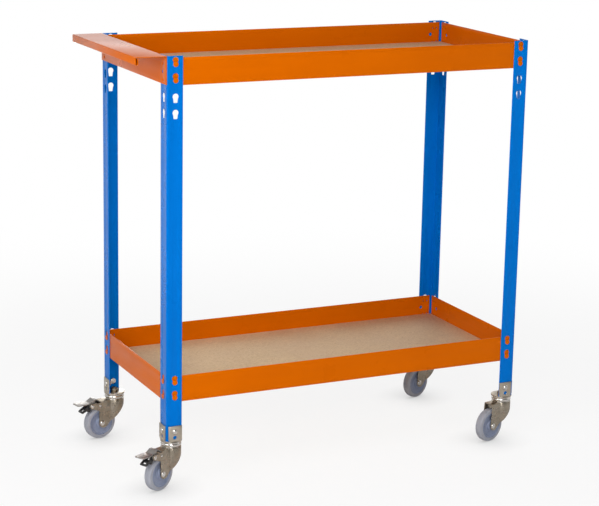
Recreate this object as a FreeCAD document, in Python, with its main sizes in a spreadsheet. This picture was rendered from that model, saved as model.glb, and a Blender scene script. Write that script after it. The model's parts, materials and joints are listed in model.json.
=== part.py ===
import FreeCAD, Part
import os
import re
import Sketcher

Vector = FreeCAD.Vector
Z_AXIS = Vector(0, 0, 1)

# Driving sizes in millimetres and degrees
SIZES = {
    # whole table: outsides of the posts, top edges of the two trays above the floor
    "table_length": 900,
    "table_depth": 410,
    "upper_edge": 970,
    "lower_edge": 260,
    # corner posts
    "post_flange": 37,
    "post_sheet": 1.5,
    "post_bend": 2.5,
    "post_rise": 4,
    "pair_step": 79,
    # keyholes in the posts, measured from the outer corner and from the seated stud
    "hole_line": 20,
    "keyhole_lift": 9,
    "keyhole_round": 7,
    "keyhole_throat": 11,
    "keyhole_slot": 8.8,
    # tray beams
    "beam_height": 60,
    "beam_sheet": 1.5,
    "beam_ledge": 25,
    "beam_gap": 5.5,
    "mitre_gap": 0.5,
    "sight_hole": 4,
    "sight_step": 12,
    "lance_width": 2.4,
    "lance_height": 5,
    "lance_step": 5.5,
    # studs pressed out of the beams and the handle
    "stud_drop": 14,
    "stud_pitch": 35,
    "stud_neck": 3.8,
    "stud_head": 5.5,
    "stud_thick": 1.6,
    "stud_play": 0.1,
    "stud_dent": 2.2,
    "dent_radius": 3,
    # push handle
    "handle_web": 62,
    "handle_reach": 72,
    "handle_sheet": 1.5,
    "handle_lip": 17,
    "handle_fold": 7,
    "handle_return": 13,
    "handle_bend": 2,
    "handle_step": 4,
    # tray panels
    "panel_thick": 10,
    "panel_play": 1,
    # caster brackets
    "plate_radius": 25,
    "plate_thick": 3,
    "leg_sheet": 2.5,
    "leg_play": 0.1,
    "leg_height": 38,
    "leg_start": 4.5,
    "leg_taper": 6,
    "drain_hole": 4.2,
    "drain_rise": 11,
    # bolts through the bracket legs
    "bolt_neck": 7.6,
    "bolt_head": 6,
    "bolt_dome": 3,
    "bolt_rise": 24.5,
    "bolt_play": 0.3,
    "bolt_flats": 13,
    "bolt_nut": 6.5,
    "dome_slope": 30,
    # swivel
    "swivel_stack": 13.5,
    "swivel_play": 0.4,
    "kingpin_radius": 5,
    "kingpin_head": 9,
    "kingpin_dome": 5,
    "kingpin_flats": 17,
    "kingpin_nut": 8,
    "race_flange": 24,
    "race_edge": 2.5,
    "race_radius": 22.5,
    # fork
    "fork_sheet": 2.5,
    "fork_head": 23,
    "fork_knee": 5.5,
    "fork_boss": 12.5,
    "boss_shift": 4.5,
    "fork_overhang": 2,
    "crown_gap": 11,
    "caster_trail": 42,
    "cut_margin": 5,
    # wheel
    "wheel_radius": 40,
    "wheel_width": 20,
    "wheel_play": 1.5,
    "tread_thick": 9,
    "tread_shoulder": 3,
    "hub_boss": 13,
    "hub_dish": 3,
    "axle_radius": 4,
    "axle_head": 6.5,
    "axle_dome": 3.5,
    "axle_flats": 13,
    "axle_nut": 5,
    "hub_play": 0.5,
    "running_play": 0.05,
    # brake
    "pivot_gap": 12.9,
    "pivot_angle": 59.9,
    "arm_end": 6.8,
    "arm_root": 7,
    "pin_radius": 3,
    "pin_head": 4.5,
    "pin_cap": 1.5,
    "stop_radius": 2,
    "stop_head": 3.2,
    "stop_cap": 1,
    "stop_gap": 4.6,
    "stop_angle": 83.2,
    "pedal_sheet": 2,
    "pedal_side": 1,
    "pedal_gap": 0.8,
    "pedal_sink": 1.5,
    "pedal_crest": 7.8,
    "pedal_dip": -1,
    "pedal_rise": 14,
    "pedal_fall": 5,
    "pedal_reach": 109,
    "pedal_toe": 28,
    "pedal_bend": 5,
    "pedal_corner": 5,
    "ear_radius": 6,
    "yoke_side": 0.2,
    "yoke_sheet": 2.5,
    "yoke_hub": 5,
    "yoke_length": 27.7,
    "yoke_slope": 27,
    "yoke_bar": 2.6,
    "shoe_reach": 11.34,
    "shoe_drop": 5.5,
    "shoe_radius": 4.4,
    # how far each caster is turned about its kingpin
    "front_left_turn": 28,
    "front_right_turn": 18,
    "back_right_turn": 21,
    "back_left_turn": 12,
}

# Heights and places worked out from the sizes
FORK_TOP = "(2 * wheel_radius + crown_gap + fork_sheet)"
PLATE_UNDER = f"({FORK_TOP} + swivel_stack)"
POST_FOOT = f"({PLATE_UNDER} + plate_thick)"
POST_TOP = "(upper_edge + post_rise)"
BOLT_HEIGHT = f"({PLATE_UNDER} + bolt_rise)"
BOLT_HOLE = ("bolt_neck + 2 * bolt_play", "bolt_neck + 2 * bolt_play")
STUD_DROPS = ("stud_drop", "(stud_drop + stud_pitch)")
TIERS = ("upper_edge", "(upper_edge - pair_step)", "lower_edge")
HALF_LENGTH = "(table_length / 2)"
HALF_DEPTH = "(table_depth / 2)"
INSET = "(post_flange / 2)"
LEG_INSIDE = f"({INSET} + leg_play)"
LEG_OUTSIDE = f"({LEG_INSIDE} + leg_sheet)"
CHEEK_IN = "(wheel_width / 2 + wheel_play)"
CHEEK_OUT = f"({CHEEK_IN} + fork_sheet)"
RIM_RADIUS = "(wheel_radius - tread_thick)"
KINGPIN_BORE = "kingpin_radius + running_play"
PIVOT_X = "(-caster_trail - (wheel_radius + pivot_gap) * cos(pivot_angle * 1 deg))"
PIVOT_Z = "(wheel_radius + (wheel_radius + pivot_gap) * sin(pivot_angle * 1 deg))"
STOP_X = "(-caster_trail - (wheel_radius + stop_gap) * cos(stop_angle * 1 deg))"
STOP_Z = "(wheel_radius + (wheel_radius + stop_gap) * sin(stop_angle * 1 deg))"

# Corner, signs of its place along the length and the depth, turn of its post
CORNERS = (("front_left", "-", "-", 0), ("front_right", "", "-", 90),
           ("back_right", "", "", 180), ("back_left", "-", "", 270))
BRAKED = ("front_left", "back_left")

# Sides of the smallest round features: holes and studs in sheet, and fasteners
SHEET_SIDES = 8
FASTENER_SIDES = 12
KEYHOLE_STEPS = 9

doc = FreeCAD.newDocument("MobileWorkTable")
sheet = doc.addObject("Spreadsheet::Sheet", "Sizes")
for row, (size_name, size) in enumerate(SIZES.items(), 1):
    sheet.set(f"A{row}", size_name.replace("_", " "))
    sheet.set(f"B{row}", str(size))
    sheet.setAlias(f"B{row}", size_name)
doc.recompute()
pieces = []


def bind(text):
    """The expression with every size's name pointed at its cell in the sheet."""
    return re.sub(r"\b[a-z]+(?:_[a-z]+)+\b", r"Sizes.\g<0>", text)


def value(text):
    """What an expression of sizes comes to."""
    found = sheet.evalExpression(bind(text))
    return float(getattr(found, "Value", found))


def start(label, kept=True):
    body = doc.addObject("PartDesign::Body", label)
    body.Label = label
    if kept:
        pieces.append(body)
    return body


def place(piece, x="0", y="0", z="0", turn="0"):
    piece.Placement = FreeCAD.Placement(Vector(), FreeCAD.Rotation(Z_AXIS, value(turn)))
    for path, text in (("Base.x", x), ("Base.y", y), ("Base.z", z), ("Rotation.Angle", turn)):
        piece.setExpression("Placement." + path, bind(text))


def datum(body, role):
    """One of the planes or axes that every body has."""
    return next(item for item in body.Origin.OriginFeatures if item.Role == role)


def draw(body, role, lift="0", at=("0", "0"), turn="0"):
    """A sketch on one of the body's own planes, lifted off it, shifted and turned in it."""
    sketch = body.newObject("Sketcher::SketchObject", "sketch")
    sketch.AttachmentSupport = [(datum(body, role), "")]
    sketch.MapMode = "FlatFace"
    sketch.AttachmentOffset = FreeCAD.Placement(Vector(), FreeCAD.Rotation(Z_AXIS, value(turn)))
    for path, text in (("Base.x", at[0]), ("Base.y", at[1]), ("Base.z", lift), ("Rotation.Angle", turn)):
        if text != "0":
            sketch.setExpression("AttachmentOffset." + path, bind(text))
    return sketch


def hold(sketch, *rules):
    """Driving constraints that follow expressions of sizes: kind, expression and what it acts on."""
    made = [Sketcher.Constraint(kind, *which, value(text)) for kind, text, *which in rules]
    for number, (kind, text, *which) in zip(sketch.addConstraint(made), rules):
        sketch.setExpression(f"Constraints[{number}]", bind(text))


def pins(x, y, shape, point):
    return ("DistanceX", x, -1, 1, shape, point), ("DistanceY", y, -1, 1, shape, point)


def outline(sketch, points):
    """A closed outline of straight sides."""
    spots = [Vector(value(x), value(y), 0) for x, y in points]
    first = sketch.GeometryCount
    following = [(index + 1) % len(points) for index in range(len(points))]
    sketch.addGeometry([Part.LineSegment(spots[index], spots[after])
                        for index, after in enumerate(following)])
    sketch.addConstraint([Sketcher.Constraint("Coincident", first + index, 2, first + after, 1)
                          for index, after in enumerate(following)])
    hold(sketch, *[rule for index, (x, y) in enumerate(points) for rule in pins(x, y, first + index, 1)])


def disc(sketch, x, y, radius):
    number = sketch.addGeometry(Part.Circle(Vector(value(x), value(y), 0), Z_AXIS, value(radius)))
    hold(sketch, *pins(x, y, number, 3), ("Radius", radius, number))


def ring(sketch, x, y, radius, sides):
    """A regular outline drawn around a circle."""
    step = 360 / sides
    reach = f"({radius}) / cos({step / 2} deg)"
    turns = [f"{(index + 0.5) * step} deg" for index in range(sides)]
    outline(sketch, [(f"{x} + {reach} * cos({turn})", f"{y} + {reach} * sin({turn})") for turn in turns])


def box(sketch, x, y, width, height):
    """A rectangle about its middle."""
    outline(sketch, [(f"{x} {across} ({width}) / 2", f"{y} {up} ({height}) / 2")
                     for across, up in (("-", "-"), ("+", "-"), ("+", "+"), ("-", "+"))])


def keyhole(sketch, x, seat):
    """A round hole with a slot below it that narrows down to where a stud sits."""
    top = f"({seat} + keyhole_lift)"
    mouth = "acos(keyhole_throat / 2 / keyhole_round)"
    turns = [f"({step} / {KEYHOLE_STEPS} * (180 deg + 2 * {mouth}) - {mouth})"
             for step in range(KEYHOLE_STEPS + 1)]
    around = [(f"{x} + keyhole_round * cos({turn})", f"{top} + keyhole_round * sin({turn})")
              for turn in turns]
    low = f"{seat} - stud_neck / cos({180 / SHEET_SIDES} deg) - stud_play"
    outline(sketch, (*around, (f"{x} - keyhole_slot / 2", low), (f"{x} + keyhole_slot / 2", low)))


def pad(body, sketch, length, middle=False, back=False, slope=None):
    step = body.newObject("PartDesign::Pad", "pad")
    step.Profile = sketch
    step.Midplane = middle
    step.Reversed = back
    step.setExpression("Length", bind(length))
    if slope:
        step.setExpression("TaperAngle", bind(slope))
    return step


def cut(body, sketch, depth=None, one_way=False):
    """A pocket of a given depth, or one through everything on one side or on both sides of the sketch."""
    step = body.newObject("PartDesign::Pocket", "cut")
    step.Profile = sketch
    if depth:
        step.setExpression("Length", bind(depth))
    else:
        step.Type = 1
        step.Midplane = not one_way
    return step


def repeat_below(body, step, pitch):
    """The same feature once more, lower down."""
    pattern = body.newObject("PartDesign::LinearPattern", "repeated")
    pattern.Originals = [step]
    pattern.Direction = (datum(body, "Z_Axis"), [""])
    pattern.Reversed = True
    pattern.Occurrences = 2
    pattern.setExpression("Length", bind(pitch))
    body.Tip = pattern


def mirror(body, steps, role):
    """The same features on the other side of one of the body's planes."""
    mirrored = body.newObject("PartDesign::Mirrored", "mirrored")
    mirrored.Originals = steps
    mirrored.MirrorPlane = (datum(body, role), [""])
    body.Tip = mirrored


def spin(body, role, points):
    """A turned piece: the half outline goes round the sketch's upright axis."""
    sketch = draw(body, role)
    outline(sketch, points)
    step = body.newObject("PartDesign::Revolution", "turned")
    step.Profile = sketch
    step.ReferenceAxis = (sketch, ["V_Axis"])


def soften(body, radius, spots):
    """Rounds the edges whose middles lie at the given places."""
    doc.recompute()
    base = body.Tip
    names = []
    for spot in spots:
        place_of_edge = Vector(*(value(text) for text in spot))
        gaps = [edge.CenterOfMass.distanceToPoint(place_of_edge) for edge in base.Shape.Edges]
        names.append(f"Edge{gaps.index(min(gaps)) + 1}")
    step = body.newObject("PartDesign::Fillet", "bend")
    step.Base = (base, names)
    step.setExpression("Radius", bind(radius))


def group(label, copies):
    """One sub-part made of separate equal pieces: each copy is a piece and where it goes."""
    links = []
    for piece, x, y, z, turn in copies:
        link = doc.addObject("App::Link", f"{label}_copy")
        link.LinkedObject = piece
        place(link, x, y, z, turn)
        links.append(link)
    whole = doc.addObject("Part::Compound", label)
    whole.Label = label
    whole.Links = links
    pieces.append(whole)


def quarter_turned(x, y, turn):
    return {0: (x, y), 90: (f"-({y})", x), 180: (f"-({x})", f"-({y})"), 270: (y, f"-({x})")}[turn]


# Corner posts
for corner, sign_x, sign_y, turn in CORNERS:
    post = start(f"{corner}_post")
    section = draw(post, "XY_Plane", POST_FOOT)
    outline(section, (("0", "0"), ("post_flange", "0"), ("post_flange", "post_sheet"),
                      ("post_sheet", "post_sheet"), ("post_sheet", "post_flange"), ("0", "post_flange")))
    pad(post, section, f"{POST_TOP} - {POST_FOOT}")
    mid_height = f"({POST_TOP} + {POST_FOOT}) / 2"
    soften(post, "post_bend", [("0", "0", mid_height)])
    soften(post, "post_bend - post_sheet", [("post_sheet", "post_sheet", mid_height)])
    for role in ("XZ_Plane", "YZ_Plane"):
        for edge in TIERS:
            upper_hole = draw(post, role)
            keyhole(upper_hole, "hole_line", f"({edge} - stud_drop)")
            repeat_below(post, cut(post, upper_hole), "stud_pitch")
        bolt_hole = draw(post, role)
        box(bolt_hole, "hole_line", BOLT_HEIGHT, *BOLT_HOLE)
        cut(post, bolt_hole)
    place(post, f"{sign_x}{HALF_LENGTH}", f"{sign_y}{HALF_DEPTH}", "0", str(turn))


def beam(label, span, edge, x, y, turn):
    """An angle with its upright web outside and its ledge inside, hung by studs at both ends."""
    body = start(label)
    section = draw(body, "YZ_Plane")
    outline(section, (("0", "0"), ("0", "-beam_height"), ("beam_ledge", "-beam_height"),
                      ("beam_ledge", "beam_sheet - beam_height"),
                      ("beam_sheet", "beam_sheet - beam_height"), ("beam_sheet", "0")))
    pad(body, section, f"{span} - 2 * (post_sheet + beam_gap)", middle=True)
    mitre = draw(body, "XY_Plane")
    corner_x = f"({span} / 2 - post_sheet)"
    outline(mitre, ((f"{corner_x} - beam_gap + mitre_gap", "beam_gap - 2 * mitre_gap"),
                    (f"{corner_x} - beam_gap + mitre_gap", "beam_ledge + mitre_gap"),
                    (f"{corner_x} - beam_ledge - 2 * mitre_gap", "beam_ledge + mitre_gap")))
    line = f"({span} / 2 - hole_line)"
    holes = draw(body, "XZ_Plane")
    necks = draw(body, "XZ_Plane")
    heads = draw(body, "XZ_Plane", "post_sheet + stud_play")
    ring(holes, f"{line} - sight_step", "-beam_height / 2", "sight_hole", SHEET_SIDES)
    for drop in STUD_DROPS:
        for step in ("+ lance_step", "- lance_step"):
            box(holes, f"{line} {step}", f"-{drop}", "lance_width", "lance_height")
        ring(necks, line, f"-{drop}", "stud_neck", SHEET_SIDES)
        ring(heads, line, f"-{drop}", "stud_head", SHEET_SIDES)
    right_end = [cut(body, mitre), cut(body, holes), pad(body, necks, "post_sheet + stud_play"),
                 pad(body, heads, "stud_thick")]
    mirror(body, right_end, "YZ_Plane")
    place(body, x, y, edge, turn)


# Tray beams, with the web against the inside of the posts
for tray in ("upper", "lower"):
    beam(f"{tray}_front_beam", "table_length", f"{tray}_edge", "0", f"post_sheet - {HALF_DEPTH}", "0")
    beam(f"{tray}_back_beam", "table_length", f"{tray}_edge", "0", f"{HALF_DEPTH} - post_sheet", "180")
    beam(f"{tray}_right_beam", "table_depth", f"{tray}_edge", f"{HALF_LENGTH} - post_sheet", "0", "90")
beam("lower_left_beam", "table_depth", "lower_edge", f"post_sheet - {HALF_LENGTH}", "0", "270")

# Push handle, hooked on the outside of the left posts
handle = start("push_handle")
section = draw(handle, "XZ_Plane")
outline(section, (
    ("0", "-handle_web"), ("0", "0"), ("-handle_reach", "0"), ("-handle_reach", "-handle_lip"),
    ("handle_fold - handle_reach", "-handle_lip"),
    ("handle_fold - handle_reach", "handle_return - handle_lip"),
    ("handle_fold - handle_sheet - handle_reach", "handle_return - handle_lip"),
    ("handle_fold - handle_sheet - handle_reach", "handle_sheet - handle_lip"),
    ("handle_sheet - handle_reach", "handle_sheet - handle_lip"),
    ("handle_sheet - handle_reach", "-handle_sheet"), ("-handle_sheet", "-handle_sheet"),
    ("-handle_sheet", "-handle_web")))
pad(handle, section, "table_depth", middle=True)
soften(handle, "handle_bend", [("0", "0", "0"), ("-handle_reach", "0", "0"),
                               ("-handle_reach", "0", "-handle_lip"),
                               ("handle_fold - handle_reach", "0", "-handle_lip")])
holes = draw(handle, "YZ_Plane")
dents = draw(handle, "YZ_Plane", "stud_dent - handle_sheet")
necks = draw(handle, "YZ_Plane")
heads = draw(handle, "YZ_Plane", "post_sheet + stud_play")
line = f"({HALF_DEPTH} - hole_line)"
middle_drop = "-post_rise - stud_drop - stud_pitch / 2"
ring(holes, f"{line} - handle_step", middle_drop, "sight_hole", SHEET_SIDES)
for drop in STUD_DROPS:
    for drawn, radius in ((dents, "dent_radius"), (necks, "stud_neck"), (heads, "stud_head")):
        ring(drawn, line, f"-post_rise - {drop}", radius, SHEET_SIDES)
back_end = [cut(handle, holes, "2 * handle_sheet"), pad(handle, necks, "post_sheet + stud_play"),
            pad(handle, heads, "stud_thick"), cut(handle, dents, "stud_dent")]
mirror(handle, back_end, "XZ_Plane")
place(handle, f"-{HALF_LENGTH}", "0", POST_TOP, "0")

# Tray panels on the ledges, clear of the webs and, at the upper left, of the handle's stud heads
BESIDE_WEB = "(post_sheet + beam_sheet + panel_play)"
BESIDE_STUDS = "(post_sheet + stud_play + stud_thick + panel_play)"
for tray, left_gap in (("upper", BESIDE_STUDS), ("lower", BESIDE_WEB)):
    panel = start(f"{tray}_panel")
    plan = draw(panel, "XY_Plane")
    outline(plan, ((f"{left_gap} - {HALF_LENGTH}", f"{BESIDE_WEB} - {HALF_DEPTH}"),
                   (f"{HALF_LENGTH} - {BESIDE_WEB}", f"{BESIDE_WEB} - {HALF_DEPTH}"),
                   (f"{HALF_LENGTH} - {BESIDE_WEB}", f"{HALF_DEPTH} - {BESIDE_WEB}"),
                   (f"{left_gap} - {HALF_LENGTH}", f"{HALF_DEPTH} - {BESIDE_WEB}")))
    pad(panel, plan, "panel_thick")
    place(panel, z=f"{tray}_edge - beam_height + beam_sheet")

# Caster brackets: a round plate under the post and a leg outside each of its flanges
axes = {corner: (f"{sign_x}({HALF_LENGTH} - {INSET})", f"{sign_y}({HALF_DEPTH} - {INSET})")
        for corner, sign_x, sign_y, turn in CORNERS}
for corner, sign_x, sign_y, turn in CORNERS:
    bracket = start(f"{corner}_bracket")
    plate = draw(bracket, "XY_Plane", PLATE_UNDER)
    disc(plate, "0", "0", "plate_radius")
    pad(bracket, plate, "plate_thick")
    trim = draw(bracket, "XY_Plane", PLATE_UNDER)
    beyond = "(plate_radius + cut_margin)"
    outline(trim, ((f"-{beyond}", f"-{beyond}"), (beyond, f"-{beyond}"), (beyond, f"-{LEG_OUTSIDE}"),
                   (f"-{LEG_OUTSIDE}", f"-{LEG_OUTSIDE}"), (f"-{LEG_OUTSIDE}", beyond),
                   (f"-{beyond}", beyond)))
    cut(bracket, trim)
    for role, lift, back in (("XZ_Plane", LEG_INSIDE, False), ("YZ_Plane", f"-{LEG_INSIDE}", True)):
        near, far, top = f"(leg_start - {INSET})", INSET, f"({PLATE_UNDER} + leg_height)"
        leg = draw(bracket, role, lift)
        outline(leg, ((f"{near} + leg_taper", PLATE_UNDER), (f"{far} - leg_taper", PLATE_UNDER),
                      (far, f"{PLATE_UNDER} + leg_taper"), (far, top), (near, top),
                      (near, f"{PLATE_UNDER} + leg_taper")))
        pad(bracket, leg, "leg_sheet", back=back)
        holes = draw(bracket, role)
        box(holes, f"hole_line - {INSET}", BOLT_HEIGHT, *BOLT_HOLE)
        ring(holes, f"hole_line - {INSET}", f"{PLATE_UNDER} + drain_rise", "drain_hole", FASTENER_SIDES)
        cut(bracket, holes)
    bore = draw(bracket, "XY_Plane", PLATE_UNDER)
    ring(bore, "0", "0", KINGPIN_BORE, FASTENER_SIDES)
    cut(bracket, bore)
    place(bracket, *axes[corner], "0", str(turn))

# Bolts and nuts of the bracket legs, along Y from the leg's outer face: a domed head and a square neck
GRIP = "(leg_sheet + leg_play + post_sheet)"


def fastener_head(body, role, lift, radius, dome):
    plan = draw(body, role, lift)
    ring(plan, "0", "0", radius, FASTENER_SIDES)
    pad(body, plan, dome, slope="-dome_slope")


def nut(label, role, lift, flats, thick, kept=False):
    body = start(label, kept)
    plan = draw(body, role, lift)
    ring(plan, "0", "0", f"{flats} / 2", 6)
    pad(body, plan, thick)
    return body


bolt = start("bolt", kept=False)
fastener_head(bolt, "XZ_Plane", "0", "bolt_head", "bolt_dome")
neck = draw(bolt, "XZ_Plane")
box(neck, "0", "0", "bolt_neck", "bolt_neck")
pad(bolt, neck, GRIP, back=True)
bolt_nut = nut("bolt_nut_piece", "XZ_Plane", f"-{GRIP} - bolt_nut", "bolt_flats", "bolt_nut")
bolt_places = []
for corner, sign_x, sign_y, turn in CORNERS:
    along, out = f"hole_line - {INSET}", f"-{LEG_OUTSIDE}"
    for x, y, lean in ((along, out, 0), (out, along, 270)):
        shift_x, shift_y = quarter_turned(x, y, turn)
        axis_x, axis_y = axes[corner]
        bolt_places.append((f"{axis_x} + {shift_x}", f"{axis_y} + {shift_y}", BOLT_HEIGHT,
                            str((turn + lean) % 360)))
group("bracket_bolts", [(bolt, *spot) for spot in bolt_places])
group("bracket_nuts", [(bolt_nut, *spot) for spot in bolt_places])

# Swivel heads under the brackets: a closed ball race with its kingpin, and the nut on top
race = start("race", kept=False)
RACE_UNDER = f"({FORK_TOP} + swivel_play)"
PIN_SEAT = f"({FORK_TOP} - fork_sheet - swivel_play)"
spin(race, "XZ_Plane", (
    ("0", POST_FOOT), ("kingpin_radius", POST_FOOT), ("kingpin_radius", PLATE_UNDER),
    ("race_flange", PLATE_UNDER),
    ("race_flange", f"{PLATE_UNDER} - race_edge"), ("race_radius", f"{PLATE_UNDER} - race_edge"),
    ("race_radius", RACE_UNDER), ("kingpin_radius", RACE_UNDER), ("kingpin_radius", PIN_SEAT),
    ("kingpin_head", PIN_SEAT), ("kingpin_head", f"{PIN_SEAT} - kingpin_dome"),
    ("0", f"{PIN_SEAT} - kingpin_dome")))
race_nut = nut("race_nut_piece", "XY_Plane", POST_FOOT, "kingpin_flats", "kingpin_nut")
for label, piece in (("swivel_heads", race), ("kingpin_nuts", race_nut)):
    group(label, [(piece, *axes[corner], "0", str(turn)) for corner, sign_x, sign_y, turn in CORNERS])

# Rivets of the brakes, along Y
rivets = {}
for label, radius, head, cap in (("pivot_rivet", "pin_radius", "pin_head", "pin_cap"),
                                 ("stop_rivet", "stop_radius", "stop_head", "stop_cap")):
    rivets[label] = start(label, kept=False)
    shank = draw(rivets[label], "XZ_Plane")
    disc(shank, "0", "0", radius)
    pad(rivets[label], shank, f"2 * {CHEEK_OUT}", middle=True)
    for lift in (CHEEK_OUT, f"-{CHEEK_OUT} - {cap}"):
        end = draw(rivets[label], "XZ_Plane", lift)
        ring(end, "0", "0", head, FASTENER_SIDES)
        pad(rivets[label], end, cap)


def fork(label, braked):
    """A sheet fork: a round head, flat legs behind it, an axle boss and, for a brake, arms behind."""
    body = start(label)
    boss_x = "(boss_shift - caster_trail)"
    boss_back = f"({boss_x} - fork_boss)"
    back = f"({PIVOT_X} - arm_end)" if braked else boss_back
    low = "(wheel_radius - fork_boss)"
    height = f"{FORK_TOP} - {low}"
    for width, radius, lift in ((CHEEK_OUT, "fork_head", low), (CHEEK_IN, "(fork_head - fork_sheet)", None)):
        hollow = lift is None
        level = f"{FORK_TOP} - fork_sheet" if hollow else lift
        end = f"({back} - cut_margin)" if hollow else back
        legs = draw(body, "XY_Plane", level)
        outline(legs, (("0", width), (end, width), (end, f"-{width}"), ("0", f"-{width}")))
        head = draw(body, "XY_Plane", level)
        disc(head, "0", "0", radius)
        for plan in (legs, head):
            if hollow:
                cut(body, plan, one_way=True)
            else:
                pad(body, plan, height)
    # all that lies outside the side view of the fork
    right, top = "(fork_head + cut_margin / 2)", f"({FORK_TOP} + cut_margin / 2)"
    knee = f"({FORK_TOP} - fork_knee)"
    across, rise = f"({right} - {boss_x})", f"({knee} - wheel_radius)"
    lean = f"(atan2({rise}; {across}) - acos(fork_boss / sqrt({across}^2 + {rise}^2)))"
    tail = "(-caster_trail - fork_overhang)"
    arm = ()
    if braked:
        arm = ((boss_back, f"{PIVOT_Z} - arm_end - arm_root"), (PIVOT_X, f"{PIVOT_Z} - arm_end"),
               (PIVOT_X, f"{PIVOT_Z} + arm_end"), (tail, f"{FORK_TOP} - fork_sheet"))
    side = draw(body, "XZ_Plane")
    box_left, box_right = f"{back} - cut_margin", "fork_head + cut_margin"
    box_low, box_top = f"{low} - cut_margin", f"{FORK_TOP} + cut_margin"
    outline(side, ((box_left, box_low), (box_right, box_low), (box_right, box_top), (box_left, box_top)))
    outline(side, ((right, top), (right, knee),
                   (f"fork_boss * cos({lean}) + {boss_x}", f"fork_boss * sin({lean}) + wheel_radius"),
                   (boss_x, "wheel_radius"), (boss_back, "wheel_radius"), *arm, (tail, top)))
    cut(body, side)
    if braked:
        # the pedal stands between the arms
        slot = draw(body, "XY_Plane")
        outline(slot, ((tail, CHEEK_IN), (box_left, CHEEK_IN), (box_left, f"-{CHEEK_IN}"),
                       (tail, f"-{CHEEK_IN}")))
        cut(body, slot)
    ends = [(boss_x, "wheel_radius", "fork_boss")]
    bores = [("-caster_trail", "wheel_radius", "axle_radius")]
    if braked:
        ends.append((PIVOT_X, PIVOT_Z, "arm_end"))
        bores += [(PIVOT_X, PIVOT_Z, "pin_radius"), (STOP_X, STOP_Z, "stop_radius")]
    for lift in (f"{CHEEK_OUT} - fork_sheet", f"-{CHEEK_OUT}"):
        for x, z, radius in ends:
            boss = draw(body, "XZ_Plane", lift)
            disc(boss, x, z, radius)
            pad(body, boss, "fork_sheet")
    holes = draw(body, "XZ_Plane")
    for x, z, bore in bores:
        ring(holes, x, z, f"{bore} + running_play", FASTENER_SIDES)
    cut(body, holes)
    swivel = draw(body, "XY_Plane")
    ring(swivel, "0", "0", KINGPIN_BORE, FASTENER_SIDES)
    cut(body, swivel)
    return body


def pedal(label):
    """A waved sheet with two ears that hang on the pivot."""
    body = start(label)
    wave = (("-caster_trail - fork_overhang - pedal_gap", f"{FORK_TOP} - pedal_sink"),
            (f"{PIVOT_X} + pedal_rise", f"{FORK_TOP} + pedal_crest"),
            (f"{PIVOT_X} + pedal_rise / 2", f"{FORK_TOP} + pedal_crest"),
            (f"{PIVOT_X} - pedal_fall", f"{FORK_TOP} - pedal_dip"),
            ("-pedal_reach", f"{FORK_TOP} - pedal_dip"))
    under = [(x, f"{z} - pedal_sheet") for x, z in wave]
    section = draw(body, "XZ_Plane")
    outline(section, (*wave, *under[::-1]))
    pad(body, section, "pedal_toe", middle=True)
    bends = [(x, "0", z) for x, z in (*wave[1:-1], *under[1:-1])]
    soften(body, "pedal_bend", bends)
    toe_height = f"{FORK_TOP} - pedal_dip - pedal_sheet / 2"
    crest_height = f"{FORK_TOP} + pedal_crest - pedal_sheet / 2"
    toes = [("-pedal_reach", f"{side}pedal_toe / 2", toe_height) for side in ("", "-")]
    soften(body, "pedal_corner", toes)
    neck, waist = f"({CHEEK_IN} - pedal_side)", f"({PIVOT_X} - arm_end - pedal_side)"
    sides = draw(body, "XY_Plane")
    for side in ("", "-"):
        shoulder = f"{waist} - pedal_toe / 2 + {neck}"
        outline(sides, ((shoulder, f"{side}(pedal_toe / 2)"), (waist, f"{side}{neck}"),
                        ("0", f"{side}{neck}"), ("0", f"{side}pedal_toe"), (shoulder, f"{side}pedal_toe")))
    cut(body, sides)
    for lift in (f"{neck} - pedal_sheet", f"-{neck}"):
        ear = draw(body, "XZ_Plane", lift)
        outline(ear, ((f"{PIVOT_X} + pedal_rise - pedal_bend", crest_height),
                      (f"{PIVOT_X} + ear_radius", PIVOT_Z), (f"{PIVOT_X} - ear_radius", PIVOT_Z),
                      (f"{PIVOT_X} - pedal_fall", toe_height),
                      (f"{PIVOT_X} + pedal_rise / 2", crest_height)))
        pad(body, ear, "pedal_sheet")
        tip = draw(body, "XZ_Plane", lift)
        ring(tip, PIVOT_X, PIVOT_Z, "ear_radius", FASTENER_SIDES)
        pad(body, tip, "pedal_sheet")
    bore = draw(body, "XZ_Plane")
    ring(bore, PIVOT_X, PIVOT_Z, "pin_radius + running_play", FASTENER_SIDES)
    cut(body, bore)
    return body


def yoke(label):
    """A stirrup under the pedal: two links on the pivot, the shoe bar at the tread and a bar behind."""
    body = start(label)
    outer = f"({CHEEK_IN} - pedal_side - pedal_sheet - yoke_side)"
    there = {"at": (PIVOT_X, PIVOT_Z), "turn": "yoke_slope"}
    for lift in (f"{outer} - yoke_sheet", f"-{outer}"):
        link = draw(body, "XZ_Plane", lift, **there)
        outline(link, (("0", "yoke_hub"), ("-yoke_length", "yoke_bar"), ("-yoke_length", "-yoke_bar"),
                       ("0", "-yoke_hub")))
        pad(body, link, "yoke_sheet")
    for x, z, radius in (("-yoke_length", "0", "yoke_bar"), ("-shoe_reach", "-shoe_drop", "shoe_radius")):
        bar = draw(body, "XZ_Plane", **there)
        ring(bar, x, z, radius, FASTENER_SIDES)
        pad(body, bar, f"2 * {outer}", middle=True)
    for lift in (f"{outer} - yoke_sheet", f"-{outer}"):
        hub = draw(body, "XZ_Plane", lift, **there)
        ring(hub, "0", "0", "yoke_hub", FASTENER_SIDES)
        pad(body, hub, "yoke_sheet")
    bore = draw(body, "XZ_Plane", **there)
    ring(bore, "0", "0", "pin_radius + running_play", FASTENER_SIDES)
    cut(body, bore)
    return body


def along_caster(corner, reach):
    """A place on a turned caster's own long axis, measured from its kingpin."""
    axis_x, axis_y = axes[corner]
    turn = f"({corner}_turn * 1 deg)"
    return f"{axis_x} + {reach} * cos{turn}", f"{axis_y} + {reach} * sin{turn}"


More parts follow.
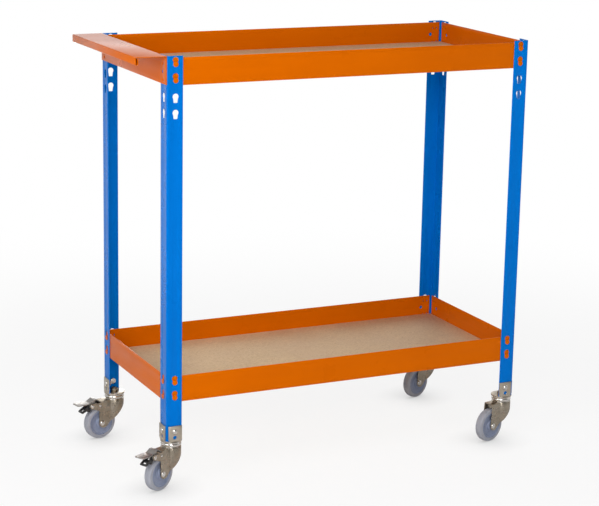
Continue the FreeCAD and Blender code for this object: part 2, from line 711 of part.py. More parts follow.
# Casters, each turned about its kingpin as it was left standing
for corner, sign_x, sign_y, turn in CORNERS:
    axis_x, axis_y = axes[corner]
    way = f"{corner}_turn"
    braked = corner in BRAKED
    place(fork(f"{corner}_fork", braked), axis_x, axis_y, "0", way)
    axle = start(f"{corner}_axle")
    shank = draw(axle, "XZ_Plane")
    disc(shank, "0", "0", "axle_radius")
    pad(axle, shank, f"2 * {CHEEK_OUT}", middle=True)
    fastener_head(axle, "XZ_Plane", CHEEK_OUT, "axle_head", "axle_dome")
    axle_nut = nut(f"{corner}_axle_nut", "XZ_Plane", f"-{CHEEK_OUT} - axle_nut", "axle_flats", "axle_nut",
                   kept=True)
    half = "(wheel_width / 2)"
    tyre = start(f"{corner}_tyre")
    tyre_side = ((RIM_RADIUS, half), ("wheel_radius - tread_shoulder", half),
                 ("wheel_radius", f"{half} - tread_shoulder"))
    spin(tyre, "XY_Plane", (*tyre_side, *[(r, f"-({y})") for r, y in tyre_side[::-1]]))
    hub = start(f"{corner}_hub")
    boss_face = f"{CHEEK_IN} - hub_play"
    hub_side = (("axle_radius + running_play", boss_face), ("hub_boss", boss_face),
                ("hub_boss", f"{half} - hub_dish"), (f"{RIM_RADIUS} - running_play", half))
    spin(hub, "XY_Plane", (*hub_side, *[(r, f"-({y})") for r, y in hub_side[::-1]]))
    for piece in (axle, axle_nut, tyre, hub):
        place(piece, *along_caster(corner, "-caster_trail"), "wheel_radius", way)
    if braked:
        place(pedal(f"{corner}_pedal"), axis_x, axis_y, "0", way)
        place(yoke(f"{corner}_yoke"), axis_x, axis_y, "0", way)
        group(f"{corner}_brake_rivets",
              [(rivets["pivot_rivet"], *along_caster(corner, PIVOT_X), PIVOT_Z, way),
               (rivets["stop_rivet"], *along_caster(corner, STOP_X), STOP_Z, way)])

doc.recompute()
for item in doc.Objects:
    if "Invalid" in item.State or "Error" in item.State:
        raise RuntimeError(f"{item.Label} did not recompute: {item.State}")
os.makedirs("parts", exist_ok=True)
for piece in pieces:
    if piece.Shape.isNull() or not piece.Shape.isValid() or not piece.Shape.Solids:
        raise RuntimeError(f"{piece.Label} has no valid solid")
    piece.Shape.exportStep(f"parts/{piece.Label}.step")
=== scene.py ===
"""Looks of the mobile work table: finishes, turned small pieces, studio and camera."""
import json
import math

import bpy
from mathutils import Matrix, Vector


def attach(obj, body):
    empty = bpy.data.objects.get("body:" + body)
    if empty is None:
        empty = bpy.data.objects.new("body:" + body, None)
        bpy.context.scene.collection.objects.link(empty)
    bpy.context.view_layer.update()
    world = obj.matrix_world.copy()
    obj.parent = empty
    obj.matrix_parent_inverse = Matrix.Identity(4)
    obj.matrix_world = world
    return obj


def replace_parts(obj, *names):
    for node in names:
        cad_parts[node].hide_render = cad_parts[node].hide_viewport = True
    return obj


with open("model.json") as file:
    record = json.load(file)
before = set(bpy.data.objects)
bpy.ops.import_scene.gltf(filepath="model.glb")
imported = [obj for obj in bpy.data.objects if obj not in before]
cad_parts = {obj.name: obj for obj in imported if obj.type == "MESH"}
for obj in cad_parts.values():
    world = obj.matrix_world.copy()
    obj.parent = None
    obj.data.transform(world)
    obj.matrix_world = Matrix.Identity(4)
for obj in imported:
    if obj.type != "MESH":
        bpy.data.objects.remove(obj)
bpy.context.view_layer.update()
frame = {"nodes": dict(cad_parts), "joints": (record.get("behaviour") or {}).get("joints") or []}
cad = frame["nodes"]
joints = {entry["name"]: entry for entry in frame["joints"]}

MM = 0.001
WHITE = (1, 1, 1, 1)
CORNERS = {"front_left": (-1, -1), "front_right": (1, -1), "back_right": (1, 1), "back_left": (-1, 1)}
BRAKED = ("front_left", "back_left")

# Places that the small pieces take, in millimetres and degrees
HALF_LENGTH = 450.0
HALF_DEPTH = 205.0
POST_SHEET = 1.5
HOLE_LINE = 20.0  # from a post's corner to its line of holes
UPPER_STUDS = (956.0, 921.0)
LOWER_STUDS = (246.0, 211.0)
LEG_FACE = 2.6  # from a post to the outside of a bracket's leg
GRIP = LEG_FACE + POST_SHEET  # between a bolt's head and its nut
BOLT_HEIGHT = 131.5
PLATE_UNDER = 107.0
PLATE_TOP = 110.0
FORK_TOP = 93.5
CHEEK_OUT = 14.0  # from the wheel's middle to the outside of the fork's cheeks
WHEEL_RADIUS = 40.0
HALF_TREAD = 10.0
CASTER_TRAIL = 42.0
PIVOT_GAP = 12.9  # from the tread to the rivet's middle
PIVOT_ANGLE = 59.9  # round the axle, up from straight behind it
STOP_GAP = 4.6
STOP_ANGLE = 83.2


# Nodes and groups of the finishes

FACING_AT_EDGE = (0.995, 0.85)  # the rounded normal along the face's own, on the flat and at an edge
EDGE_BREAKS = (0.38, 0.68)  # the span of noise that breaks up a paler edge, part rubbed wear and part painted highlight
FIBRE_NOISE = (0.3, 0.7)  # the span of noise from no fibre to a whole one
FINER_SKIN = 4  # how many times finer the second noise of a skin is


def node(tree, kind, values=None, **settings):
    """A new node with its settings, and with values on inputs that nothing is wired to."""
    made = tree.nodes.new(kind)
    for name, setting in settings.items():
        setattr(made, name, setting)
    for socket, value in (values or {}).items():
        made.inputs[socket].default_value = value
    return made


def wire(tree, *pairs):
    for source, target in pairs:
        tree.links.new(source, target)


def stretched(tree, span=(0, 1), onto=(0, 1), **settings):
    """A node that stretches one span of values onto another."""
    ends = {"From Min": span[0], "From Max": span[1], "To Min": onto[0], "To Max": onto[1]}
    return node(tree, "ShaderNodeMapRange", ends, **settings)


def open_group(name, inputs, output):
    """An empty node group with its named numbers going in and one coming out."""
    tree = bpy.data.node_groups.new(name, "ShaderNodeTree")
    for label in inputs:
        tree.interface.new_socket(name=label, in_out="INPUT", socket_type="NodeSocketFloat")
    tree.interface.new_socket(name=output, in_out="OUTPUT", socket_type="NodeSocketFloat")
    return tree, tree.nodes.new("NodeGroupInput"), tree.nodes.new("NodeGroupOutput")


def patches_group():
    """Soft patches over a surface, from 0 to 1."""
    tree, given, result = open_group("patches", ("Per Metre", "Low", "High"), "Patch")
    place = node(tree, "ShaderNodeTexCoord")
    noise = node(tree, "ShaderNodeTexNoise", {"Detail": 4})
    spread = stretched(tree)
    wire(tree, (place.outputs["Object"], noise.inputs["Vector"]),
         (given.outputs["Per Metre"], noise.inputs["Scale"]),
         (noise.outputs["Fac"], spread.inputs["Value"]),
         (given.outputs["Low"], spread.inputs["From Min"]),
         (given.outputs["High"], spread.inputs["From Max"]),
         (spread.outputs["Result"], result.inputs["Patch"]))
    return tree


def edge_wear_and_highlight_group():
    """The sharp edges of a piece, broken up as handling leaves them, from 0 to 1: the mask for paler edges
    that are part rubbed wear and part painted highlight.
    """
    tree, given, result = open_group("edge_wear_and_highlight", ("Width", "Per Metre"), "Edge")
    rounded = node(tree, "ShaderNodeBevel", samples=4)
    face = node(tree, "ShaderNodeNewGeometry")
    along = node(tree, "ShaderNodeVectorMath", operation="DOT_PRODUCT")
    turned_away = stretched(tree, FACING_AT_EDGE)
    place = node(tree, "ShaderNodeTexCoord")
    noise = node(tree, "ShaderNodeTexNoise", {"Detail": 5})
    broken = stretched(tree, EDGE_BREAKS)
    both = node(tree, "ShaderNodeMath", operation="MULTIPLY")
    wire(tree, (given.outputs["Width"], rounded.inputs["Radius"]),
         (rounded.outputs["Normal"], along.inputs[0]),
         (face.outputs["Normal"], along.inputs[1]),
         (along.outputs["Value"], turned_away.inputs["Value"]),
         (place.outputs["Object"], noise.inputs["Vector"]),
         (given.outputs["Per Metre"], noise.inputs["Scale"]),
         (noise.outputs["Fac"], broken.inputs["Value"]),
         (turned_away.outputs["Result"], both.inputs[0]),
         (broken.outputs["Result"], both.inputs[1]),
         (both.outputs["Value"], result.inputs["Edge"]))
    return tree


def peel_group():
    """The fine rolling skin of powder coat, plating or moulding, as a height."""
    tree, given, result = open_group("peel", ("Per Metre", "Fine Share"), "Height")
    place = node(tree, "ShaderNodeTexCoord")
    broad = node(tree, "ShaderNodeTexNoise", {"Detail": 1})
    finer = node(tree, "ShaderNodeMath", {1: FINER_SKIN}, operation="MULTIPLY")
    fine = node(tree, "ShaderNodeTexNoise", {"Detail": 2})
    mixed = node(tree, "ShaderNodeMix")
    wire(tree, (place.outputs["Object"], broad.inputs["Vector"]),
         (place.outputs["Object"], fine.inputs["Vector"]),
         (given.outputs["Per Metre"], broad.inputs["Scale"]),
         (given.outputs["Per Metre"], finer.inputs[0]),
         (finer.outputs["Value"], fine.inputs["Scale"]),
         (given.outputs["Fine Share"], mixed.inputs["Factor"]),
         (broad.outputs["Fac"], mixed.inputs["A"]),
         (fine.outputs["Fac"], mixed.inputs["B"]),
         (mixed.outputs["Result"], result.inputs["Height"]))
    return tree


def fibre_group():
    """One lay of pressed wood fibres, all in one direction, from 0 to 1."""
    tree, given, result = open_group("fibre", ("Turn", "Along", "Across"), "Fibre")
    place = node(tree, "ShaderNodeTexCoord")
    turned_lay = node(tree, "ShaderNodeVectorRotate", rotation_type="Z_AXIS")
    stretch = node(tree, "ShaderNodeCombineXYZ")
    scaled = node(tree, "ShaderNodeVectorMath", operation="MULTIPLY")
    noise = node(tree, "ShaderNodeTexNoise", {"Scale": 1, "Detail": 3, "Distortion": 0.6})
    spread = stretched(tree, FIBRE_NOISE)
    wire(tree, (place.outputs["Object"], turned_lay.inputs["Vector"]),
         (given.outputs["Turn"], turned_lay.inputs["Angle"]),
         (given.outputs["Along"], stretch.inputs["X"]),
         (given.outputs["Across"], stretch.inputs["Y"]),
         (given.outputs["Across"], stretch.inputs["Z"]),
         (turned_lay.outputs["Vector"], scaled.inputs[0]),
         (stretch.outputs["Vector"], scaled.inputs[1]),
         (scaled.outputs["Vector"], noise.inputs["Vector"]),
         (noise.outputs["Fac"], spread.inputs["Value"]),
         (spread.outputs["Result"], result.inputs["Fibre"]))
    return tree


PATCHES = patches_group()
EDGE_WEAR_AND_HIGHLIGHT = edge_wear_and_highlight_group()
PEEL = peel_group()
FIBRE = fibre_group()


# Materials

EDGE_WIDTH = 0.0007  # in metres
EDGE_BREAKS_PER_METRE = 70
HANDLED_FINER = 2.7  # patches of gloss for each patch of tone
SKIN_FINE_SHARE = 0.3
SKIN_STRENGTH = 0.5
STRONG_FIBRE = (0.55, 1.0)  # the span of a fibre that takes its own tone
FIBRE_COVER = 0.75  # how much of the tone below a strong fibre hides


def use(tree, group, **values):
    """What a group puts out in a material, with the material's own numbers going in."""
    made = node(tree, "ShaderNodeGroup", node_tree=group)
    for name, number in values.items():
        made.inputs[name.replace("_", " ").title()].default_value = number
    return made.outputs[0]


def linear(red, green, blue):
    """A screen colour of 0 to 255 as the shader counts it, by the usual curve of a screen."""
    shares = [part / 255 for part in (red, green, blue)]
    counted = [share / 12.92 if share <= 0.04045 else ((share + 0.055) / 1.055) ** 2.4 for share in shares]
    return (*counted, 1.0)


def colour_mix(tree, factor, low, high):
    """A colour between two others, each a constant or another node's colour."""
    mixed = node(tree, "ShaderNodeMix", data_type="RGBA")
    wire(tree, (factor, mixed.inputs["Factor"]))
    for label, tone in (("A", low), ("B", high)):
        colour = next(way for way in mixed.inputs if way.name == label and way.type == "RGBA")
        if isinstance(tone, tuple):
            colour.default_value = tone
        else:
            wire(tree, (tone, colour))
    return next(way for way in mixed.outputs if way.type == "RGBA")


def new_material(name, values):
    """A material, its nodes and its shader with the shader's plain values set."""
    material = bpy.data.materials.new(name)
    material.use_nodes = True
    shader = material.node_tree.nodes["Principled BSDF"]
    for socket, value in values.items():
        shader.inputs[socket].default_value = value
    return material, material.node_tree, shader


def dress(tree, shader, colour, gloss, smooth, rough, height, strength, depth):
    """Wires a colour, a gloss that drifts between two roughnesses and a fine relief into the shader."""
    roughness = stretched(tree, onto=(smooth, rough))
    bump = node(tree, "ShaderNodeBump", {"Strength": strength, "Distance": depth})
    wire(tree, (colour, shader.inputs["Base Color"]),
         (gloss, roughness.inputs["Value"]),
         (roughness.outputs["Result"], shader.inputs["Roughness"]),
         (height, bump.inputs["Height"]),
         (bump.outputs["Normal"], shader.inputs["Normal"]))


def finish(name, low, high, patch, smooth, rough, peel, depth,
           edge=None, metal=0.0, specular=0.5, tint=WHITE):
    """A finish whose tone and gloss drift in patches, with a fine skin and, if asked, paler edges that are
    part rubbed wear and part painted highlight.

    Patches and the skin's waves are counted per metre, and the skin's depth is in metres.
    """
    plain = {"Metallic": metal, "Specular IOR Level": specular, "Specular Tint": tint}
    material, tree, shader = new_material(name, plain)
    tone = use(tree, PATCHES, per_metre=patch, low=0.3, high=0.7)
    colour = colour_mix(tree, tone, low, high)
    # Paler edge colour: part rubbed wear, part painted highlight along the sharp edges
    if edge:
        edge_wear_and_highlight_mask = use(tree, EDGE_WEAR_AND_HIGHLIGHT, width=EDGE_WIDTH, per_metre=EDGE_BREAKS_PER_METRE)
        colour = colour_mix(tree, edge_wear_and_highlight_mask, colour, edge)
    handled = use(tree, PATCHES, per_metre=patch * HANDLED_FINER, low=0.3, high=0.75)
    skin = use(tree, PEEL, per_metre=peel, fine_share=SKIN_FINE_SHARE)
    dress(tree, shader, colour, handled, smooth, rough, skin, SKIN_STRENGTH, depth)
    return material


def pressed_board():
    """Hardboard: pressed fibres lying three ways, darker specks and slow cloudiness."""
    material, tree, shader = new_material("pressed_board", {"Specular IOR Level": 0.3})
    cloud = use(tree, PATCHES, per_metre=7, low=0.3, high=0.7)
    colour = colour_mix(tree, cloud, linear(214, 183, 145), linear(230, 202, 163))
    # Each lay of fibres has a turn, in radians, and a tone
    lays = ((0.3, linear(198, 165, 127)), (1.4, linear(238, 214, 179)), (2.5, linear(188, 155, 117)))
    for turn, tone in lays:
        lay = use(tree, FIBRE, turn=turn, along=90, across=900)
        strong = stretched(tree, STRONG_FIBRE, onto=(0, FIBRE_COVER))
        wire(tree, (lay, strong.inputs["Value"]))
        colour = colour_mix(tree, strong.outputs["Result"], colour, tone)
    specks = use(tree, PATCHES, per_metre=420, low=0.66, high=0.74)
    colour = colour_mix(tree, specks, colour, linear(164, 131, 96))
    # The last lay is on top, so it gives the relief too
    dress(tree, shader, colour, gloss=cloud, smooth=0.55, rough=0.75, height=lay, strength=0.4, depth=0.0002)
    return material


# Each edge colour is a paler edge, part rubbed wear and part painted highlight
BLUE = finish("blue_powder_coat", linear(0, 111, 203), linear(2, 117, 210), patch=5,
              smooth=0.24, rough=0.34, peel=520, depth=0.00008,
              edge=linear(52, 142, 222), specular=0.25, tint=linear(40, 150, 255))
ORANGE = finish("orange_powder_coat", linear(208, 97, 0), linear(215, 102, 0), patch=5,
                smooth=0.26, rough=0.36, peel=520, depth=0.00008,
                edge=linear(230, 132, 44), specular=0.25, tint=linear(255, 150, 20))
BOARD = pressed_board()
ZINC = finish("dull_zinc", linear(148, 138, 123), linear(166, 156, 141), patch=45,
              smooth=0.24, rough=0.36, peel=700, depth=0.00006,
              edge=linear(204, 198, 190), metal=1.0)
BRACKET_ZINC = finish("bracket_zinc", linear(176, 166, 151), linear(192, 183, 169), patch=40,
                      smooth=0.3, rough=0.42, peel=700, depth=0.00006,
                      edge=linear(216, 211, 204), metal=1.0)
BRIGHT_ZINC = finish("bright_zinc", linear(196, 191, 184), linear(218, 215, 210), patch=60,
                     smooth=0.16, rough=0.28, peel=700, depth=0.00005, metal=1.0)
PEDAL_ZINC = finish("pedal_zinc", linear(148, 144, 140), linear(166, 162, 157), patch=50,
                    smooth=0.42, rough=0.56, peel=800, depth=0.0001,
                    edge=linear(196, 193, 190), metal=1.0)
BLACK = finish("black_lacquer", linear(26, 25, 26), linear(40, 39, 40), patch=60,
               smooth=0.3, rough=0.45, peel=700, depth=0.0001, edge=linear(92, 90, 88))
TREAD = finish("grey_tread", linear(148, 150, 160), linear(161, 163, 172), patch=40,
               smooth=0.5, rough=0.66, peel=900, depth=0.00015, specular=0.35)
HUB = finish("blue_grey_hub", linear(121, 130, 154), linear(132, 141, 165), patch=30,
             smooth=0.34, rough=0.46, peel=600, depth=0.00008, specular=0.4)


# Hand tools for the new pieces, with lengths in millimetres and angles in degrees

TURNED_CREASE = 35  # steeper edges stay crisp in the shading
NUT_CREASE = 32
NUT_SOFTNESS = 0.15
NUT_SHARP = 30
NUT_GAP = 0.05
NUT_FACE = 0.97  # over a nut's half width: its flat face, the fall of its corners and a place clear of them
NUT_FALL = 0.2
NUT_CLEAR = 1.2
LATHE_OVER = 0.02
BOLT_END_SUNK = 1
BOLT_CHAMFER = (0.7, 0.6)  # inwards and down


def clear():
    if bpy.context.mode != "OBJECT":
        bpy.ops.object.mode_set(mode="OBJECT")
    bpy.ops.object.select_all(action="DESELECT")


def take(piece):
    """The piece alone selected and active."""
    clear()
    piece.select_set(True)
    bpy.context.view_layer.objects.active = piece


def name_it(piece, label):
    piece.name = label
    piece.data.name = label


def coat(piece, material):
    piece.data.materials.clear()
    piece.data.materials.append(material)


def add_modifier(piece, label, kind, **settings):
    step = piece.modifiers.new(label, kind)
    for name, value in settings.items():
        setattr(step, name, value)
    return step


def apply_modifier(piece, kind, **settings):
    take(piece)
    step = add_modifier(piece, kind.lower(), kind, **settings)
    bpy.ops.object.modifier_apply(modifier=step.name)


def close_up(piece, gap=0.01):
    """Merges points that lie on each other, drops slivers and turns the faces outwards."""
    take(piece)
    bpy.ops.object.mode_set(mode="EDIT")
    bpy.ops.mesh.select_all(action="SELECT")
    bpy.ops.mesh.remove_doubles(threshold=gap * MM)
    bpy.ops.mesh.dissolve_degenerate(threshold=gap * MM)
    bpy.ops.mesh.normals_make_consistent(inside=False)
    bpy.ops.object.mode_set(mode="OBJECT")


def raised(points, base):
    """Outline points whose heights are counted from a base."""
    return [(radius, base + height) for radius, height in points]


def mirrored(points):
    """The same outline points on the other side, in the order that carries on from them."""
    return [(radius, -height) for radius, height in points[::-1]]


def turned(label, outline, steps=48, softness=0.4, sharp=25):
    """A piece turned about Z: its half outline (radius, height) is drawn point by point and spun round.

    Edges that turn by more than the sharp angle are rounded by the softness.
    """
    clear()
    bpy.ops.mesh.primitive_plane_add(size=MM)
    piece = bpy.context.active_object
    name_it(piece, label)
    bpy.ops.object.mode_set(mode="EDIT")
    bpy.ops.mesh.select_mode(type="VERT")
    bpy.ops.mesh.merge(type="CENTER")
    bpy.ops.transform.translate(value=(outline[0][0] * MM, 0, outline[0][1] * MM))
    for before, after in zip(outline, outline[1:]):
        run = ((after[0] - before[0]) * MM, 0, (after[1] - before[1]) * MM)
        bpy.ops.mesh.extrude_vertices_move(TRANSFORM_OT_translate={"value": run})
    bpy.ops.mesh.select_all(action="SELECT")
    bpy.ops.mesh.spin(steps=steps, angle=2 * math.pi, center=(0, 0, 0), axis=(0, 0, 1))
    close_up(piece)
    if softness:
        apply_modifier(piece, "BEVEL", width=softness * MM, segments=3, limit_method="ANGLE",
                       angle_limit=math.radians(sharp))
        close_up(piece)
    bpy.ops.object.shade_smooth_by_angle(angle=math.radians(TURNED_CREASE))
    return piece


def joined(pieces, label):
    """The pieces as one, under a new name."""
    take(pieces[0])
    for piece in pieces:
        piece.select_set(True)
    bpy.ops.object.join()
    name_it(pieces[0], label)
    return pieces[0]


def hex_nut(label, flats, thick, bolt_radius, stub):
    """A six-sided nut with turned-down corners and the end of its bolt standing out of it."""
    half = flats / 2
    clear()
    bpy.ops.mesh.primitive_cylinder_add(vertices=6, radius=half / math.cos(math.pi / 6) * MM,
                                        depth=thick * MM, location=(0, 0, thick / 2 * MM))
    nut = bpy.context.active_object
    bpy.ops.object.transform_apply(location=True, rotation=True, scale=True)
    name_it(nut, label)
    face = half * NUT_FACE
    fall = half * NUT_FALL
    outside = half * NUT_CLEAR
    lathe = turned("corner_lathe", (
        (0, -LATHE_OVER), (face, -LATHE_OVER), (outside, fall), (outside, thick - fall),
        (face, thick + LATHE_OVER), (0, thick + LATHE_OVER)), softness=0)
    apply_modifier(nut, "BOOLEAN", operation="INTERSECT", object=lathe, solver="EXACT")
    bpy.data.objects.remove(lathe)
    close_up(nut, NUT_GAP)
    apply_modifier(nut, "BEVEL", width=NUT_SOFTNESS * MM, segments=2, limit_method="ANGLE",
                   angle_limit=math.radians(NUT_SHARP))
    close_up(nut)
    foot = thick - BOLT_END_SUNK
    tip = thick + stub
    inwards, down = BOLT_CHAMFER
    end = turned("bolt_end", (
        (0, foot), (bolt_radius, foot), (bolt_radius, tip - down), (bolt_radius - inwards, tip), (0, tip)),
        steps=32, softness=NUT_SOFTNESS)
    joined([nut, end], label)
    bpy.ops.object.shade_smooth_by_angle(angle=math.radians(NUT_CREASE))
    return nut


def set_out(model, label, places, material):
    """A copy of the modelled piece at each place, with the place in its own mesh."""
    copies = []
    for number, place in enumerate(places, 1):
        copy = model.copy()
        copy.data = model.data.copy()
        bpy.context.scene.collection.objects.link(copy)
        name_it(copy, f"{label}_{number}" if len(places) > 1 else label)
        copy.matrix_world = place
        take(copy)
        bpy.ops.object.transform_apply(location=True, rotation=True, scale=True)
        coat(copy, material)
        copies.append(copy)
    return copies


def standing(x, y, z, axis):
    """Puts a turned piece's foot at a place in millimetres, with its axis that way."""
    lean = Vector((0, 0, 1)).rotation_difference(Vector(axis))
    return Matrix.Translation(Vector((x, y, z)) * MM) @ lean.to_matrix().to_4x4()


# Finishes of the solids, and their sheet edges joined and eased, in millimetres and degrees

SOLID_GAP = 0.002
SOLID_SHARP = 34
SOLID_FINISHES = (  # the end of a node's name, its finish and how much its edges are eased
    ("_post", BLUE, 0.3),
    ("_beam", ORANGE, 0.3),
    ("push_handle", ORANGE, 0.3),
    ("_panel", BOARD, 0.8),
    ("_bracket", BRACKET_ZINC, 0.4),
    ("_fork", ZINC, 0.5),
    ("_pedal", PEDAL_ZINC, 0.4),
    ("_yoke", BLACK, 0.5))


def ease_edges(piece, width):
    """Joins the faces of a solid and rounds its sharp edges a little."""
    piece.data.polygons.foreach_set("use_smooth", [True] * len(piece.data.polygons))
    add_modifier(piece, "joined", "WELD", merge_threshold=SOLID_GAP * MM)
    add_modifier(piece, "eased", "BEVEL", width=width * MM, segments=2, limit_method="ANGLE",
                 angle_limit=math.radians(SOLID_SHARP), harden_normals=True)


for name, piece in cad.items():
    for ending, material, width in SOLID_FINISHES:
        if name.endswith(ending):
            coat(piece, material)
            ease_edges(piece, width)


# Wheels: a moulded tyre and a dished hub, each an outline of one side and its mirror image

tyre_flank = raised(((31.1, -0.6), (32.0, 0), (33.2, 0), (33.6, -0.4), (36.2, -0.5), (38.4, -1.6),
                     (39.5, -3.6), (39.9, -7)), HALF_TREAD)
tyre_side = (*tyre_flank, (WHEEL_RADIUS, 0.3))
tyre_model = turned("tyre_model", (*tyre_side, *mirrored(tyre_side), tyre_side[0]),
                    steps=96, softness=0.35, sharp=18)

hub_side = ((4.1, 11.0), (8.6, 11.0), (9.4, 10.4), (12.4, 10.4), (13.2, 9.5), (14.2, 7.1), (17, 6.9),
            (24.5, 7.5), (26.2, 8.1), (27.2, 9.7), (30.0, 9.9), (31.0, 9.1))
hub_model = turned("hub_model", (*hub_side, *mirrored(hub_side), hub_side[0]),
                   steps=96, softness=0.5, sharp=15)


# Axles and the brackets' bolts, with their nuts

AXLE_RADIUS = 4
axle_head = raised(((AXLE_RADIUS, 0), (6.5, 0), (6.5, 0.8), (5.5, 1.0), (4.8, 2.4), (3.2, 3.3),
                    (1.4, 3.5), (0, 3.5)), CHEEK_OUT)
axle_model = turned("axle_model", ((0, -CHEEK_OUT), (AXLE_RADIUS, -CHEEK_OUT), *axle_head), softness=0.25)
axle_nut_model = hex_nut("axle_nut_model", flats=13, thick=5, bolt_radius=AXLE_RADIUS, stub=1.6)
bolt_model = turned("bolt_model", ((0, -2.6), (3.6, -2.6), (3.6, 0), (6.3, 0), (6.3, 0.5), (5.5, 1.6),
                                   (4.2, 2.5), (2.4, 3.0), (0, 3.1)), softness=0.2)
bolt_nut_model = hex_nut("bolt_nut_model", flats=13, thick=6.5, bolt_radius=4, stub=2.2)


# Swivel heads: kingpin, upper cup, bulging race, lower cup and riveted end in one outline

KINGPIN_RADIUS = 5
KINGPIN_TOP = PLATE_TOP + 6
NECK_RADIUS = 20.6
BULGE_RADIUS = 5.8
BULGE_OUT = 17.5
BULGE_HEIGHT = PLATE_UNDER - 7.4
BULGE_ANGLES = range(45, -46, -10)
kingpin = ((0, KINGPIN_TOP), (KINGPIN_RADIUS, KINGPIN_TOP))
upper_cup = raised(((KINGPIN_RADIUS, 0), (24, 0), (24, -1.8), (22.8, -2.5), (NECK_RADIUS, -2.6),
                    (NECK_RADIUS, -3.2)), PLATE_UNDER)
bulge = [(BULGE_OUT + BULGE_RADIUS * math.cos(math.radians(angle)),
          BULGE_HEIGHT + BULGE_RADIUS * math.sin(math.radians(angle))) for angle in BULGE_ANGLES]
lower_cup = raised(((NECK_RADIUS, 1.2), (21.4, 0.4), (KINGPIN_RADIUS, 0.4)), FORK_TOP)
rivet_head = raised(((KINGPIN_RADIUS, -2.9), (9, -2.9), (8.6, -5.4), (6.4, -7.4), (0, -7.9)), FORK_TOP)
race_model = turned("race_model", (*kingpin, *upper_cup, *bulge, *lower_cup, *rivet_head),
                    steps=72, softness=0.3)
kingpin_nut_model = hex_nut("kingpin_nut_model", flats=17, thick=8, bolt_radius=KINGPIN_RADIUS, stub=2)


# Studs and brake rivets

stud_model = turned("stud_model", ((0, 1.15), (2.2, 1.2), (3.0, 1.7), (5.2, 1.78), (5.85, 1.35),
                                   (6.0, 0.8), (5.9, 0.12), (0, 0.12)), steps=32, softness=0.15)

RIVET_DOME = ((1, 0), (1, 0.35), (0.72, 0.85), (0.3, 1), (0, 1))  # over the head's radius and its height


def rivet(label, shank, head, cap):
    """A rivet through both cheeks, with a low dome at each end."""
    dome = [(head * out, CHEEK_OUT + cap * up) for out, up in RIVET_DOME]
    end = ((shank, CHEEK_OUT), *dome)
    return turned(label, (*mirrored(end), *end), steps=32, softness=0.12)


pivot_model = rivet("pivot_model", shank=3, head=4.5, cap=1.5)
stop_model = rivet("stop_model", shank=2, head=3.2, cap=1.0)


# The turned pieces of each caster, in the places of their nodes

def placed_by(corner):
    """The caster's own frame: on its kingpin's axis at the floor, with X pointing ahead of the wheel."""
    axis = Vector(joints[f"{corner}_swivel_turn"]["pos_m"])
    wheel = Vector(joints[f"{corner}_wheel_roll"]["pos_m"])
    ahead = axis - wheel
    turn = math.atan2(ahead.y, ahead.x)
    return Matrix.Translation((axis.x, axis.y, 0)) @ Matrix.Rotation(turn, 4, "Z")


ACROSS = Matrix.Rotation(math.radians(90), 4, "X")
BRAKE_PINS = ((pivot_model, PIVOT_GAP, PIVOT_ANGLE), (stop_model, STOP_GAP, STOP_ANGLE))
for corner in CORNERS:
    there = placed_by(corner)
    at_axle = there @ Matrix.Translation((-CASTER_TRAIL * MM, 0, WHEEL_RADIUS * MM)) @ ACROSS
    far_cheek = at_axle @ Matrix.Rotation(math.pi, 4, "X") @ Matrix.Translation((0, 0, CHEEK_OUT * MM))
    for model, part, place, material, slot, body in (
            (tyre_model, "tyre", at_axle, TREAD, "tread_rubber", "wheel"),
            (hub_model, "hub", at_axle, HUB, "hub_plastic", "wheel"),
            (axle_model, "axle", at_axle, BRIGHT_ZINC, "zinc", "swivel"),
            (axle_nut_model, "axle_nut", far_cheek, BRIGHT_ZINC, "zinc", "swivel")):
        copy = set_out(model, f"{corner}_{part}_turned", [place], material)[0]
        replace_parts(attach(copy, f"{corner}_{body}"), f"{corner}_{part}")
    if corner in BRAKED:
        pins = []
        for number, (model, gap, angle) in enumerate(BRAKE_PINS):
            reach = WHEEL_RADIUS + gap
            x = -CASTER_TRAIL - reach * math.cos(math.radians(angle))
            z = WHEEL_RADIUS + reach * math.sin(math.radians(angle))
            spot = there @ Matrix.Translation((x * MM, 0, z * MM)) @ ACROSS
            pins += set_out(model, f"{corner}_pin_{number}", [spot], BRIGHT_ZINC)
        rivets = joined(pins, f"{corner}_brake_rivets_turned")
        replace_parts(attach(rivets, f"{corner}_swivel"), f"{corner}_brake_rivets")


# Bolts, nuts, races and studs at the four corners

bolt_places = []
nut_places = []
axis_places = []
stud_places = []
for corner, (side_x, side_y) in CORNERS.items():
    hole_x = side_x * (HALF_LENGTH - HOLE_LINE)
    hole_y = side_y * (HALF_DEPTH - HOLE_LINE)
    face_x = side_x * (HALF_LENGTH + LEG_FACE)
    face_y = side_y * (HALF_DEPTH + LEG_FACE)
    bolt_places += [standing(hole_x, face_y, BOLT_HEIGHT, (0, side_y, 0)),
                    standing(face_x, hole_y, BOLT_HEIGHT, (side_x, 0, 0))]
    nut_places += [standing(hole_x, face_y - side_y * GRIP, BOLT_HEIGHT, (0, -side_y, 0)),
                   standing(face_x - side_x * GRIP, hole_y, BOLT_HEIGHT, (-side_x, 0, 0))]
    axis = joints[f"{corner}_swivel_turn"]["pos_m"]
    axis_places.append(Matrix.Translation((axis[0], axis[1], 0)))
    for height in UPPER_STUDS + LOWER_STUDS:
        stud_places.append(standing(hole_x, side_y * HALF_DEPTH, height, (0, side_y, 0)))
        if side_x < 0 and height in UPPER_STUDS:
            # The handle hooks on the left posts from outside, so its studs end on their inner faces
            stud_places.append(standing(POST_SHEET - HALF_LENGTH, hole_y, height, (1, 0, 0)))
        else:
            stud_places.append(standing(side_x * HALF_LENGTH, hole_y, height, (side_x, 0, 0)))
on_plate = [place @ Matrix.Translation((0, 0, PLATE_TOP * MM)) for place in axis_places]

